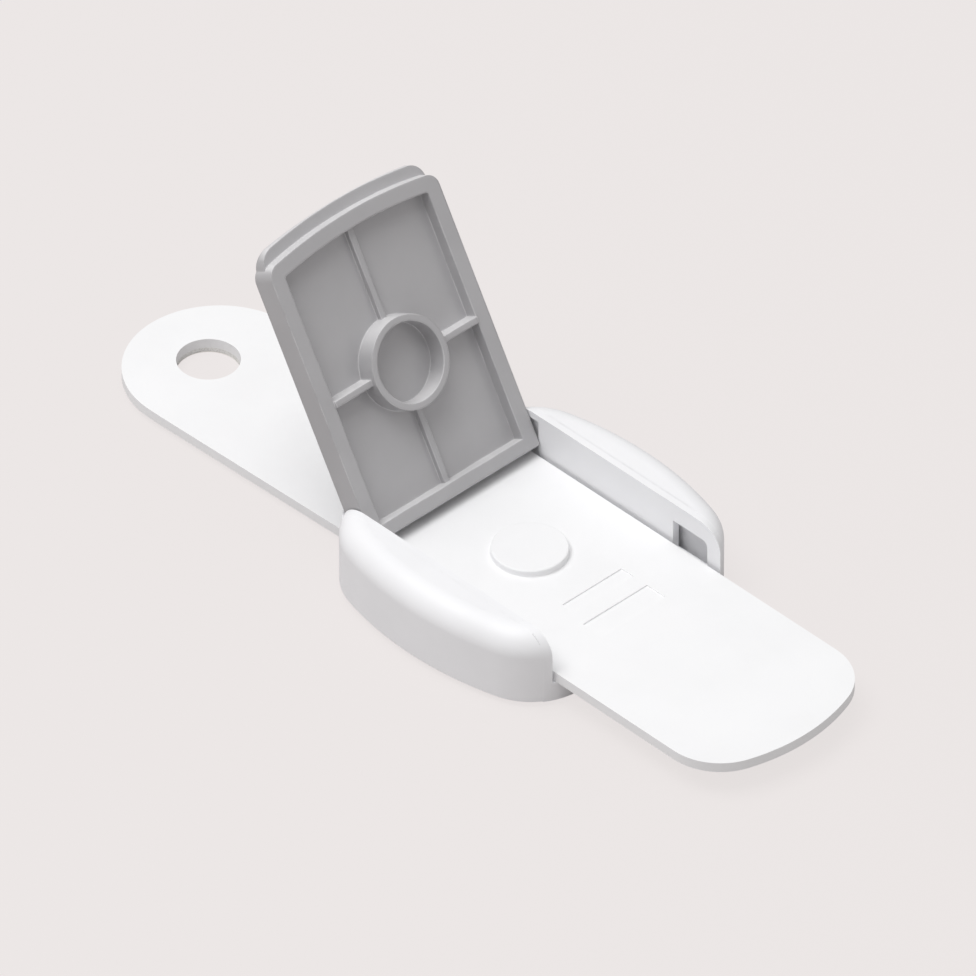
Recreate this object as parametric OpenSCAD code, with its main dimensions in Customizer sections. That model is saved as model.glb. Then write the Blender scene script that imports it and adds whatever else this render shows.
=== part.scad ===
// Cabinet safety lock: a flat mounting plate with a finger tail carries a tray between two
// rounded cheeks. A grey lid swings over the tray, and its ring drops round the disc on a
// flat strap that lies in the channel, so that the strap can't leave until the lid is up.
// The origin lies under the middle of the disc, on the plane that the lock is stuck to.
// The strap's tongue points along +X and the tail along -X.

/* [Strap] */
// Width of the strap
strap_w = 36; // [30:0.5:44]
// Thickness of the strap
strap_t = 1.8; // [1.4:0.1:2.6]
// Reach of the tongue from the middle of the disc
tongue_reach = 62.7; // [50:0.5:90]
// Radius of the tongue's corners
tongue_corner_r = 10.2; // [3:0.2:12]
// Radius of the tongue's slightly bowed end
tongue_end_r = 34; // [28:1:80]
// Diameter of the raised disc
disc_d = 12.6; // [10:0.2:14]
// Height of the disc above the strap
disc_h = 1.2; // [0.8:0.05:1.2]
// Depth of the two shallow bars in front of the disc
bar_depth = 0.25; // [0.05:0.05:0.5]
// Reach of the two shallow bars towards the far side of the strap
bar_reach = 7.75; // [4:0.25:12]

/* [Mounting plate] */
// Thickness of the mounting plate
plate_t = 1.8; // [1.4:0.1:2.6]
// Reach of the tail from the middle of the disc
tail_reach = 87.9; // [70:0.5:110]
// Width of the tail at its fully rounded end
tail_w = 31.4; // [26:0.2:32]
// How much each side of the tail is drawn in where it leaves the body
tail_waist = 1.2; // [0.4:0.1:3]
// Distance of the finger hole's middle from the tail's end
hole_end = 13.3; // [12:0.1:40]
// Diameter of the finger hole
hole_d = 10.5; // [8:0.1:14]

/* [Foam pads] */
// Thickness of the adhesive foam
foam_t = 0.75; // [0.5:0.05:1.6]
// Thickness of the peel-off liner
liner_t = 0.1; // [0.08:0.01:0.2]
// How far the foam stays inside the edge of what it is stuck to
foam_inset = 1.6; // [0.5:0.1:2.5]

/* [Body] */
// Width of each cheek beside its channel wall
cheek_w = 7; // [6.2:0.1:12]
// Reach of the body in front of the disc
body_front = 25.6; // [24:0.2:30]
// Reach of the body behind the disc
body_rear = 25; // [25:0.1:30]
// Height of the channel walls above the strap
wall_rise = 7.5; // [6.5:0.1:10]
// Radius of the body's long sides in plan
side_r = 62; // [55:1:90]
// Radius of the body's front corners in plan
front_corner_r = 11.4; // [9:0.2:13]
// Radius of the body's rear corners in plan
rear_corner_r = 12.4; // [10:0.2:13.5]
// Radius of the rounding along the top of the cheeks
edge_r = 4.2; // [3:0.1:4.6]
// Wall thickness of the cheeks and of the tray's skirt
shell_t = 1.5; // [1.2:0.1:2]
// Thickness of the channel walls
wall_t = 1.3; // [1.1:0.1:1.8]
// Thickness of the tray's floor
floor_t = 1.7; // [1.2:0.1:2.4]
// Free space on each side of the strap in the channel
channel_gap = 0.6; // [0.3:0.05:1]
// Length of the window in each channel wall
window_l = 7.8; // [5:0.2:8]
// Height of the window above the strap
window_rise = 4; // [3:0.1:4.2]
// Distance of the window in front of the disc
window_front = 13.6; // [11:0.2:13.6]
// Radius of the window's upper front corner
window_r = 1.2; // [0.4:0.1:2]
// Depth of the hinge recess in each channel wall
recess_depth = 0.7; // [0.4:0.05:0.8]

/* [Lid] */
// Distance of the hinge axis behind the disc
hinge_back = 20.2; // [19.8:0.05:20.4]
// Height of the hinge axis above the strap
hinge_rise = 3.9; // [3.8:0.05:4.2]
// How far the lid stands open, from closed
lid_open = 120; // [110:1:125]
// Radius that the lid's hinge end swings through
toe_r = 3.95; // [3.6:0.05:4]
// Thickness of the lid
lid_t = 4.5; // [4.2:0.05:4.8]
// Depth of the hinge axis below the lid's rim
axis_depth = 2.2; // [2:0.05:2.3]
// Reach of the lid's rim from the hinge axis
lid_reach = 46.8; // [46:0.1:49]
// Free space on each side of the lid in the channel
lid_gap = 0.2; // [0.15:0.05:0.6]
// Length of the finger lip beyond the rim
lip_l = 2.1; // [1:0.1:4]
// How far the lip lies behind the rim
lip_step = 1.9; // [1.2:0.1:2.4]
// Thickness of the lip at its edge
lip_t = 0.4; // [0.3:0.05:1]
// How far the lip stays inside the sides of the lid
lip_inset = 0.7; // [0.3:0.1:2]
// Radius of the lip's corners
lip_corner_r = 3.2; // [1:0.1:6]
// Radius of the bowed free end of the lid
lid_end_r = 92; // [60:1:120]
// Radius of the corners at the free end of the lid
lid_corner_r = 2.4; // [1:0.1:5]
// Depth of the pocket in the underside of the lid
pocket_depth = 2.3; // [1.5:0.05:2.6]
// Width of the rim along the sides of the lid
rim_side = 2.7; // [2.5:0.1:4]
// Width of the rim at the free end of the lid
rim_end = 2.7; // [2:0.1:5]
// Width of the rim at the hinge end of the lid
rim_hinge = 2.9; // [2:0.1:3.2]
// Radius of the corners of the pocket
pocket_r = 0.4; // [0.2:0.05:1]

/* [Ring and ribs] */
// Free space between the ring and the disc
ring_clear = 0.3; // [0.2:0.05:0.4]
// Wall thickness of the ring
ring_wall = 1.15; // [0.8:0.05:1.6]
// How far the ring stands out past the rim
ring_over = 1.3; // [1:0.05:1.3]
// Thickness of the two high ribs beside the ring
high_rib_t = 1.1; // [0.6:0.1:2]
// How far the high ribs stand out past the rim
high_rib_over = 0.35; // [0:0.05:0.8]
// Thickness of the two low ribs along the lid
low_rib_t = 1.1; // [0.6:0.1:2]
// Height of the two low ribs above the pocket floor
low_rib_h = 1; // [0.4:0.1:2]

/* [Hinge pins and screws] */
// Diameter of the hinge pins
pin_d = 1.5; // [1.2:0.1:1.6]
// Running clearance round the pins in the lid, on the radius
pin_clear = 0.04; // [0.02:0.01:0.1]
// Length of each pin inside the lid's side
pin_grip = 2; // [1.5:0.1:2.2]
// Outer diameter of the case screws' thread
screw_d = 2; // [1.6:0.1:2.4]
// Diameter of the case screws' heads
screw_head_d = 3.6; // [3:0.1:4]
// Height of the case screws' heads
screw_head_h = 0.9; // [0.6:0.1:1.1]
// Length of the case screws under the head
screw_l = 6; // [4:0.2:7]

/* [Hidden] */
$fn = 96;

// Colours
white_plastic = [0.97, 0.97, 0.98];
grey_plastic = [0.7, 0.7, 0.71];
foam_white = [0.9, 0.9, 0.88];
liner_cream = [0.93, 0.92, 0.88];
steel = [0.7, 0.71, 0.73];

// How far a cut runs past the face that it leaves
overrun = 1;
// Space under the sliding strap, and round a part that is set into another
strap_play = 0.1;
set_gap = 0.1;
// Space between the lid's turning end and the strap or the tray
swing_gap = 0.33;
// Space between the open lid and its stop
stop_gap = 0.08;

// Heights
plate_z = liner_t + foam_t;
floor_z = plate_z + plate_t;
strap_z = floor_z + floor_t + strap_play;
strap_top = strap_z + strap_t;
body_top = strap_top + wall_rise;

// Widths
channel_half = strap_w / 2 + channel_gap;
wall_half = channel_half + wall_t;
lid_half = channel_half - lid_gap;
body_half_w = wall_half + cheek_w;

// Finger hole
hole_back = tail_reach - hole_end;

// How far the tail's sides run straight before they draw in
straight_l = 3;

// Hinge
hinge_x = -hinge_back;
hinge_z = strap_top + hinge_rise;
outer_r = lid_t - axis_depth;
swing_half = sqrt(max(0, pow(toe_r + swing_gap, 2) - pow(hinge_rise, 2)));
strap_rear = hinge_x + swing_half;

// A right angle
upright = 90;

// Plan of the body: each corner arc touches the end of the body and the arc of its long side.
// The arcs run past each other by the seam turn, and the corners stay inside the sides by the
// seam step, so that no face lies on another
side_cy = body_half_w - side_r;
front_gap = side_r - front_corner_r;
rear_gap = side_r - rear_corner_r;
front_cx = body_front - front_corner_r;
rear_cx = body_rear - rear_corner_r;
front_cy = side_cy + sqrt(pow(front_gap, 2) - pow(front_cx, 2));
rear_cy = side_cy + sqrt(pow(rear_gap, 2) - pow(rear_cx, 2));
seam_turn = 2;
seam_step = 0.02;
front_turn = asin(front_cx / front_gap);
rear_turn = asin(rear_cx / rear_gap);

// Bars in front of the disc: their near edges, their widths and their lengths across the strap
bar_starts = [13, 18.8];
bar_widths = [2.6, 4.2];
bar_lengths = [13.1, 14.2];

// The run of the fall to the lip, as a share of its height
fall_share = 3.2;

// Case screws, two to a cheek, in bosses that end inside the roof of the cheek
roof_share = 0.8;
screw_x = 8;
screw_y = (wall_half + body_half_w - shell_t) / 2;
boss_wall = 1;
boss_r = screw_d / 2 + boss_wall;
boss_top = body_top - roof_share * shell_t;
boss_hole_l = screw_l - plate_t + screw_head_h + set_gap;

// Web of each cheek behind the window
web_t = 1;
web_rim = 1.2;

// The foam under the tongue starts clear of the body
tongue_foam_gap = 5;
tongue_foam_x = body_front + tongue_foam_gap;

// Reach of the hinge recess ahead of the axis and behind it, and its height above the axis
recess_ahead = 3;
recess_behind = 1;
recess_over = 2.3;

// A flat outline that runs from x = start to a bowed end with two round corners
module bowed_end(start, reach, half_w, round_r, end_r) {
    end_cx = reach - end_r;
    corner_y = half_w - round_r;
    corner_x = end_cx + sqrt(pow(end_r - round_r, 2) - pow(corner_y, 2));
    spread = end_r / (end_r - round_r);
    translate([start, -half_w]) square([corner_x - start, 2 * half_w]);
    for (side = [-1, 1]) translate([corner_x, side * corner_y]) circle(round_r);
    intersection() {
        translate([end_cx, 0]) circle(end_r);
        translate([start, -half_w]) square([reach - start, 2 * half_w]);
        polygon([[end_cx, 0],
                 [end_cx + 2 * spread * (corner_x - end_cx), 2 * spread * corner_y],
                 [end_cx + 2 * spread * (corner_x - end_cx), -2 * spread * corner_y]]);
    }
}

// The tail's outline, drawn in by inset: its sides draw in from the round end to the body
module tail_outline(inset) {
    half_w = tail_w / 2 - inset;
    round_x = tail_reach - tail_w / 2;
    difference() {
        union() {
            translate([-round_x, -half_w]) square([round_x, 2 * half_w]);
            translate([-round_x, 0]) circle(half_w);
        }
        for (side = [0, 1]) mirror([0, side])
            polygon([[straight_l - round_x, half_w], [-body_rear, half_w - tail_waist],
                     [overrun, half_w - tail_waist], [overrun, half_w + overrun],
                     [straight_l - round_x, half_w + overrun]]);
    }
}

// The body's outline, drawn in by inset
module body_outline(inset) {
    translate([-rear_cx, -front_cy]) square([rear_cx + body_front - inset, 2 * front_cy]);
    translate([inset - body_rear, -rear_cy]) square([body_rear - inset + front_cx, 2 * rear_cy]);
    for (side = [0, 1]) mirror([0, side]) {
        translate([front_cx, front_cy]) circle(front_corner_r - inset - seam_step);
        translate([-rear_cx, rear_cy]) circle(rear_corner_r - inset - seam_step);
        intersection() {
            translate([0, side_cy]) circle(side_r - inset);
            polygon([[side_cy * tan(rear_turn + seam_turn), 0],
                     [-side_cy * tan(front_turn + seam_turn), 0],
                     [2 * side_r * tan(front_turn + seam_turn), side_cy + 2 * side_r],
                     [-2 * side_r * tan(rear_turn + seam_turn), side_cy + 2 * side_r]]);
        }
    }
}

// Section of the body from radius from_r to radius to_r, with its upper outer edge rounded
module body_section(from_r, to_r, round_r, low, high) {
    translate([from_r, low]) square([to_r - from_r - round_r, high - low]);
    translate([from_r, low]) square([to_r - from_r, high - low - round_r]);
    translate([to_r - round_r, high - round_r]) circle(round_r);
}

// The rounded form of the far cheek and of the wall beside it, drawn in by inset
module cheek_form(inset, low) {
    high = body_top - inset;
    round_r = edge_r - inset;
    translate([0, side_cy, 0]) rotate([0, 0, upright - front_turn - seam_turn])
        rotate_extrude(angle = front_turn + rear_turn + 2 * seam_turn)
            body_section(min(front_gap, rear_gap), side_r - inset, round_r, low, high);
    translate([front_cx, front_cy, 0])
        rotate_extrude(angle = upright - front_turn + seam_turn)
            body_section(0, front_corner_r - inset - seam_step / 2, round_r, low, high - seam_step);
    translate([-rear_cx, rear_cy, 0]) rotate([0, 0, upright + rear_turn - seam_turn])
        rotate_extrude(angle = upright - rear_turn + seam_turn)
            body_section(0, rear_corner_r - inset - seam_step / 2, round_r, low, high - seam_step);
}

// A block that spans the whole body along X, between two values of y and of z
module slab(y_from, y_to, z_from, z_to) {
    translate([-(body_rear + overrun), y_from, z_from])
        cube([body_rear + body_front + 2 * overrun, y_to - y_from, z_to - z_from]);
}

// Puts a shape at each of the four case screws
module at_screws() {
    for (x = [-screw_x, screw_x], y = [-screw_y, screw_y]) translate([x, y, 0]) children();
}

// Flat plate with the finger tail, let into the cheeks from below
module mounting_plate() {
    color(white_plastic)
        difference() {
            translate([0, 0, plate_z]) linear_extrude(plate_t) {
                body_outline(shell_t + set_gap);
                tail_outline(0);
            }
            translate([-hole_back, 0, plate_z - overrun]) cylinder(d = hole_d, h = plate_t + 2 * overrun);
            at_screws() {
                translate([0, 0, plate_z - overrun]) cylinder(d = screw_d, h = plate_t + 2 * overrun);
                translate([0, 0, plate_z - overrun])
                    cylinder(d = screw_head_d, h = screw_head_h + set_gap + overrun);
            }
        }
}

// One layer under the mounting plate, with the finger hole kept open
module plate_layer(low, thick) {
    difference() {
        translate([0, 0, low]) linear_extrude(thick) {
            body_outline(shell_t + foam_inset);
            tail_outline(foam_inset);
        }
        translate([-hole_back, 0, low - overrun]) cylinder(d = hole_d, h = thick + 2 * overrun);
    }
}

// Double-sided foam that sticks the lock to the cabinet
module plate_foam() {
    color(foam_white) plate_layer(liner_t, foam_t);
}

// Peel-off liner under the foam
module plate_liner() {
    color(liner_cream) plate_layer(0, liner_t);
}

// Rear wall with a sloped bar along its top, which the open lid leans on
module lid_stop() {
    lean = lid_open - upright;
    plane_x = hinge_x - (outer_r + stop_gap) / cos(lean);
    bar_low = hinge_z + swing_gap;
    bar_x = plane_x - swing_gap * tan(lean);
    top_rear = hinge_z + (body_rear + plane_x) / tan(lean);
    wall_x = hinge_x - toe_r - stop_gap;
    translate([0, channel_half + wall_t / 2, 0]) rotate([90, 0, 0])
        linear_extrude(2 * channel_half + wall_t)
            polygon([[-body_rear, floor_z], [-body_rear, top_rear], [bar_x, bar_low],
                     [wall_x, bar_low], [wall_x, floor_z]]);
}

// Outline of the window, as seen from the channel
module window_outline(rise) {
    square([window_l, rise - window_r]);
    square([window_l - window_r, rise]);
    translate([window_l - window_r, rise - window_r]) circle(window_r);
}

// Channel floor with its skirt, the two channel walls and the lid's stop
module tray() {
    tail_slot = tail_w / 2 - tail_waist + set_gap;
    color(white_plastic)
        difference() {
            union() {
                intersection() {
                    translate([0, 0, plate_z]) linear_extrude(floor_z + floor_t - plate_z) body_outline(0);
                    slab(-wall_half, wall_half, 0, body_top);
                }
                for (side = [0, 1]) mirror([0, side, 0]) intersection() {
                    cheek_form(0, plate_z);
                    slab(channel_half, wall_half, 0, body_top + overrun);
                }
                intersection() {
                    lid_stop();
                    translate([0, 0, plate_z]) linear_extrude(body_top - plate_z) body_outline(0);
                }
            }
            translate([0, 0, -overrun]) linear_extrude(floor_z + overrun) body_outline(shell_t);
            translate([-(body_rear + overrun), -tail_slot, -overrun])
                cube([shell_t + 2 * overrun, 2 * tail_slot, floor_z + overrun]);
            for (side = [0, 1]) mirror([0, side, 0]) {
                translate([window_front, channel_half + wall_t + overrun, floor_z + floor_t])
                    rotate([90, 0, 0]) linear_extrude(wall_t + 2 * overrun)
                        window_outline(strap_top + window_rise - floor_z - floor_t);
                translate([hinge_x - recess_behind, channel_half - overrun, floor_z + floor_t])
                    cube([recess_behind + recess_ahead, recess_depth + overrun,
                          hinge_z + recess_over - floor_z - floor_t]);
                translate([hinge_x, channel_half - overrun, hinge_z]) rotate([-90, 0, 0])
                    cylinder(d = pin_d, h = wall_t + 2 * overrun);
            }
        }
}

// Hollow rounded cover on the far side, with two screw bosses inside and a web behind the window
module cheek() {
    color(white_plastic)
        difference() {
            union() {
                difference() {
                    cheek_form(0, plate_z);
                    cheek_form(shell_t, -overrun);
                }
                for (x = [-screw_x, screw_x]) translate([x, screw_y, floor_z])
                    cylinder(r = boss_r, h = boss_top - floor_z);
                intersection() {
                    cheek_form(shell_t / 2, floor_z);
                    translate([window_front - web_rim, wall_half - overrun, floor_z])
                        cube([window_l + 2 * web_rim, web_t + overrun, body_top]);
                }
            }
            slab(-wall_half, wall_half, -overrun, body_top + overrun);
            for (x = [-screw_x, screw_x]) translate([x, screw_y, floor_z - overrun])
                cylinder(d = screw_d, h = boss_hole_l + overrun);
        }
}

// Rounded cover beside the far wall
module far_cheek() {
    cheek();
}

// Rounded cover beside the near wall
module near_cheek() {
    mirror([0, 1, 0]) cheek();
}

// Four self-tapping screws, driven from below before the foam goes on
module case_screws() {
    color(steel)
        at_screws() {
            translate([0, 0, plate_z]) cylinder(d = screw_head_d, h = screw_head_h);
            translate([0, 0, plate_z]) cylinder(d = screw_d, h = screw_head_h + screw_l);
        }
}

// Short pin through a channel wall into the side of the lid
module hinge_pin() {
    color(steel)
        translate([hinge_x, lid_half - pin_grip, hinge_z]) rotate([-90, 0, 0])
            cylinder(d = pin_d, h = wall_half - lid_half + pin_grip);
}

// Pin on the far side
module far_hinge_pin() {
    hinge_pin();
}

// Pin on the near side
module near_hinge_pin() {
    mirror([0, 1, 0]) hinge_pin();
}

// Side view of the lid: a toe below the round hinge end, and a fall to the lip at the free end
module lid_profile() {
    tip_x = lid_reach + lip_l;
    tip_z = lip_step - axis_depth + lip_t;
    fall = outer_r - tip_z;
    fall_l = fall_share * fall;
    crown_r = (pow(fall_l, 2) + pow(fall, 2)) / (2 * fall);
    crown_x = tip_x - fall_l;
    intersection() {
        circle(toe_r);
        polygon([[0, 0], [-outer_r, 0], [-toe_r, -axis_depth / 2], [-toe_r, -axis_depth], [0, -axis_depth]]);
    }
    intersection() {
        circle(outer_r);
        translate([-outer_r, 0]) square([outer_r, outer_r]);
    }
    translate([0, -axis_depth]) square([crown_x, lid_t]);
    intersection() {
        translate([crown_x, outer_r - crown_r]) circle(crown_r);
        translate([crown_x, -axis_depth]) square([fall_l, lid_t]);
    }
}

// The lid as it lies when closed, with the hinge axis at the origin and the rim facing down
module closed_lid() {
    rim_low = -axis_depth;
    lip_low = lip_step - axis_depth;
    pocket_top = pocket_depth - axis_depth;
    ring_r = disc_d / 2 + ring_clear;
    difference() {
        intersection() {
            translate([0, lid_half, 0]) rotate([90, 0, 0]) linear_extrude(2 * lid_half) lid_profile();
            union() {
                translate([0, 0, rim_low]) linear_extrude(lid_t + overrun)
                    bowed_end(-toe_r, lid_reach, lid_half, lid_corner_r, lid_end_r);
                translate([0, 0, lip_low]) linear_extrude(lid_t + overrun)
                    bowed_end(-toe_r, lid_reach + lip_l, lid_half - lip_inset, lip_corner_r, lid_end_r);
            }
        }
        difference() {
            translate([0, 0, rim_low - overrun]) linear_extrude(pocket_depth + overrun)
                bowed_end(rim_hinge - toe_r, lid_reach - rim_end, lid_half - rim_side,
                          pocket_r, lid_end_r - rim_end);
            translate([hinge_back, 0, rim_low - overrun]) cylinder(r = ring_r + ring_wall, h = lid_t);
            translate([hinge_back - high_rib_t / 2, -lid_half, rim_low - overrun])
                cube([high_rib_t, 2 * lid_half, lid_t]);
            translate([-toe_r, -low_rib_t / 2, pocket_top - low_rib_h])
                cube([lid_reach + toe_r, low_rib_t, lid_t]);
        }
        translate([hinge_back, 0, rim_low - ring_over - overrun])
            cylinder(r = ring_r, h = pocket_depth + ring_over + overrun);
        for (side = [0, 1]) mirror([0, side, 0])
            translate([0, lid_half - pin_grip - set_gap, 0]) rotate([-90, 0, 0])
                cylinder(r = pin_d / 2 + pin_clear, h = pin_grip + set_gap + overrun);
    }
    translate([hinge_back, 0, rim_low - ring_over]) difference() {
        cylinder(r = ring_r + ring_wall, h = ring_over + pocket_depth);
        translate([0, 0, -overrun]) cylinder(r = ring_r, h = ring_over + pocket_depth + overrun);
    }
    for (side = [0, 1]) mirror([0, side, 0])
        translate([hinge_back - high_rib_t / 2, ring_r + ring_wall / 2, rim_low - high_rib_over])
            cube([high_rib_t, lid_half - rim_side - ring_r - ring_wall / 2, high_rib_over + pocket_depth]);
}

// Grey lid, shown standing open
module lid() {
    color(grey_plastic)
        translate([hinge_x, 0, hinge_z]) rotate([0, -lid_open, 0]) closed_lid();
}

// Flat strap with the raised disc and two shallow bars
module strap() {
    color(white_plastic)
        difference() {
            union() {
                translate([0, 0, strap_z]) linear_extrude(strap_t)
                    bowed_end(strap_rear, tongue_reach, strap_w / 2, tongue_corner_r, tongue_end_r);
                translate([0, 0, strap_z]) cylinder(d = disc_d, h = strap_t + disc_h);
            }
            for (i = [0, 1]) translate([bar_starts[i], bar_reach - bar_lengths[i], strap_top - bar_depth])
                cube([bar_widths[i], bar_lengths[i], bar_depth + overrun]);
        }
}

// One layer under the tongue, where it is stuck to the door
module tongue_layer(low, thick) {
    translate([0, 0, low]) linear_extrude(thick)
        bowed_end(tongue_foam_x, tongue_reach - foam_inset, strap_w / 2 - foam_inset,
                  tongue_corner_r - foam_inset, tongue_end_r - foam_inset);
}

// Double-sided foam under the tongue
module tongue_foam() {
    color(foam_white) tongue_layer(strap_z - foam_t, foam_t);
}

// Peel-off liner under the tongue's foam
module tongue_liner() {
    color(liner_cream) tongue_layer(strap_z - foam_t - liner_t, liner_t);
}

mounting_plate();
plate_foam();
plate_liner();
tray();
near_cheek();
far_cheek();
case_screws();
near_hinge_pin();
far_hinge_pin();
lid();
strap();
tongue_foam();
tongue_liner();
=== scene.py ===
"""Looks of the cabinet safety lock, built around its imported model.

Every size is in metres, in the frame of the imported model: +X runs along the strap towards
the tongue, +Z points up out of the surface that the lock is stuck to.
"""

import logging
import math
from dataclasses import dataclass, field
from enum import Enum
from typing import Callable, Sequence

import bmesh
import bpy
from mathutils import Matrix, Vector


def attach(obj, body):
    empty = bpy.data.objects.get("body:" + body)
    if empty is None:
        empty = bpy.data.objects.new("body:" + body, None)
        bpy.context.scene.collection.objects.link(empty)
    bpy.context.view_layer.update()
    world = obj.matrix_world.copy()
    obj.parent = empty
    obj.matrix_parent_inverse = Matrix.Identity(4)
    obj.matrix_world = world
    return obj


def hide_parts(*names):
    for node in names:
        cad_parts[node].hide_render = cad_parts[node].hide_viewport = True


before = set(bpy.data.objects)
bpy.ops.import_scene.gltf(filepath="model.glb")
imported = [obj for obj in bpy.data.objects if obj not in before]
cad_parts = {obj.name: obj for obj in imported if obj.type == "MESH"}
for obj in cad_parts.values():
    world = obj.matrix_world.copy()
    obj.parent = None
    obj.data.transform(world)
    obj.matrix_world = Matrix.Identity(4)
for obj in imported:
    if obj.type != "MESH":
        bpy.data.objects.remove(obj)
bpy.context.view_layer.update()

LOG = logging.getLogger("safety_lock")
MM = 0.001

# Points nearer than the weld are one point, and a place is met within the tolerance
WELD = 1e-6
TOLERANCE = 0.01 * MM

# Edges that fold less than the flat angle are dissolved, and past the sharp angle they are
# rounded or shaded sharp, in degrees
FLAT_ANGLE = 0.2
SHARP_ANGLE = 32.0

# How much more a large face counts than a small one in a shared normal
FLAT_WEIGHT = 80

# The Mix node's colour sockets, by number, because its other modes use the same names
MIX_FACTOR, MIX_FIRST, MIX_SECOND, MIX_RESULT = 0, 6, 7, 2

Colour = tuple[float, float, float]
EdgeTest = Callable[[bmesh.types.BMEdge], bool]
Line = list[bmesh.types.BMVert]


class Side(Enum):
    """The two sides of the lock, with the sign of Y on each."""

    NEAR = -1
    FAR = 1


class Slot(Enum):
    """The record's material slots that new pieces take their finish from."""

    WHITE = "white_plastic"
    GREY = "grey_plastic"


def linear(level: float) -> float:
    """Turn one 0 to 255 display level into scene-linear light."""
    share = level / 255
    return share / 12.92 if share <= 0.04045 else ((share + 0.055) / 1.055) ** 2.4


def tint(red: float, green: float, blue: float) -> Colour:
    """Turn three 0 to 255 display levels into a scene-linear colour."""
    return linear(red), linear(green), linear(blue)


# Shader node sheets and groups


class Sheet:
    """A node tree with short calls to add and link nodes."""

    def __init__(self, tree: bpy.types.NodeTree) -> None:
        """Start with an empty tree.

        Args:
            tree: The node tree of a material, a world or a group.
        """
        self.tree = tree
        tree.nodes.clear()

    def feed(self, target: bpy.types.NodeSocket, value: object) -> None:
        """Link an output socket to an input, or set the input's own value.

        Args:
            target: The input.
            value: An output socket, or a plain value.
        """
        if isinstance(value, bpy.types.NodeSocket):
            self.tree.links.new(value, target)
        else:
            target.default_value = value

    def add(
        self, kind: str, sockets: dict[str | int, object] | None = None, **settings: object,
    ) -> bpy.types.Node:
        """Add a node.

        Args:
            kind: The node's type, without the ShaderNode prefix.
            sockets: Values or output sockets for its inputs, by name or number.
            settings: Properties of the node.

        Returns:
            The node.
        """
        node = self.tree.nodes.new("ShaderNode" + kind)
        for name, value in settings.items():
            setattr(node, name, value)
        for key, value in (sockets or {}).items():
            self.feed(node.inputs[key], value)
        return node

    def place(self) -> bpy.types.NodeSocket:
        """Add the place on the object, in metres."""
        return self.add("TexCoord").outputs["Object"]

    def math(
        self, operation: str, first: object, second: object, clamp: bool = False,
    ) -> bpy.types.NodeSocket:
        """Add a math node and return its value."""
        node = self.add("Math", {0: first, 1: second}, operation=operation, use_clamp=clamp)
        return node.outputs[0]

    def plus(self, first: object, second: object, clamp: bool = False) -> bpy.types.NodeSocket:
        """Add two values."""
        return self.math("ADD", first, second, clamp)

    def times(self, first: object, second: object, clamp: bool = False) -> bpy.types.NodeSocket:
        """Multiply two values."""
        return self.math("MULTIPLY", first, second, clamp)

    def ramp(self, value: object, low: float, high: float) -> bpy.types.NodeSocket:
        """Map a value to 0 at low and 1 at high, with smooth ends."""
        sockets = {"Value": value, "From Min": low, "From Max": high}
        return self.add("MapRange", sockets, interpolation_type="SMOOTHSTEP").outputs["Result"]

    def mix(self, factor: object, first: object, second: object) -> bpy.types.NodeSocket:
        """Mix two colours.

        Args:
            factor: How much of the second colour shows, from 0 to 1.
            first: A colour, or a socket that gives one.
            second: The other colour or socket.

        Returns:
            The socket of the mixed colour.
        """
        node = self.add("Mix", data_type="RGBA")
        self.feed(node.inputs[MIX_FACTOR], factor)
        for index, colour in ((MIX_FIRST, first), (MIX_SECOND, second)):
            given = isinstance(colour, bpy.types.NodeSocket)
            self.feed(node.inputs[index], colour if given else (*colour, 1.0))
        return node.outputs[MIX_RESULT]

    def noise(
        self, place: object, size: float | bpy.types.NodeSocket, detail: float,
    ) -> bpy.types.NodeSocket:
        """Add a noise.

        Args:
            place: The socket of the place that it is read at.
            size: How far its blobs are across, in metres, or a socket that gives it.
            detail: How many finer octaves it has.

        Returns:
            The socket of its value.
        """
        given = isinstance(size, bpy.types.NodeSocket)
        scale = self.math("DIVIDE", 1.0, size) if given else 1.0 / size
        sockets = {"Vector": place, "Scale": scale, "Detail": detail}
        return self.add("TexNoise", sockets).outputs["Fac"]


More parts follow.
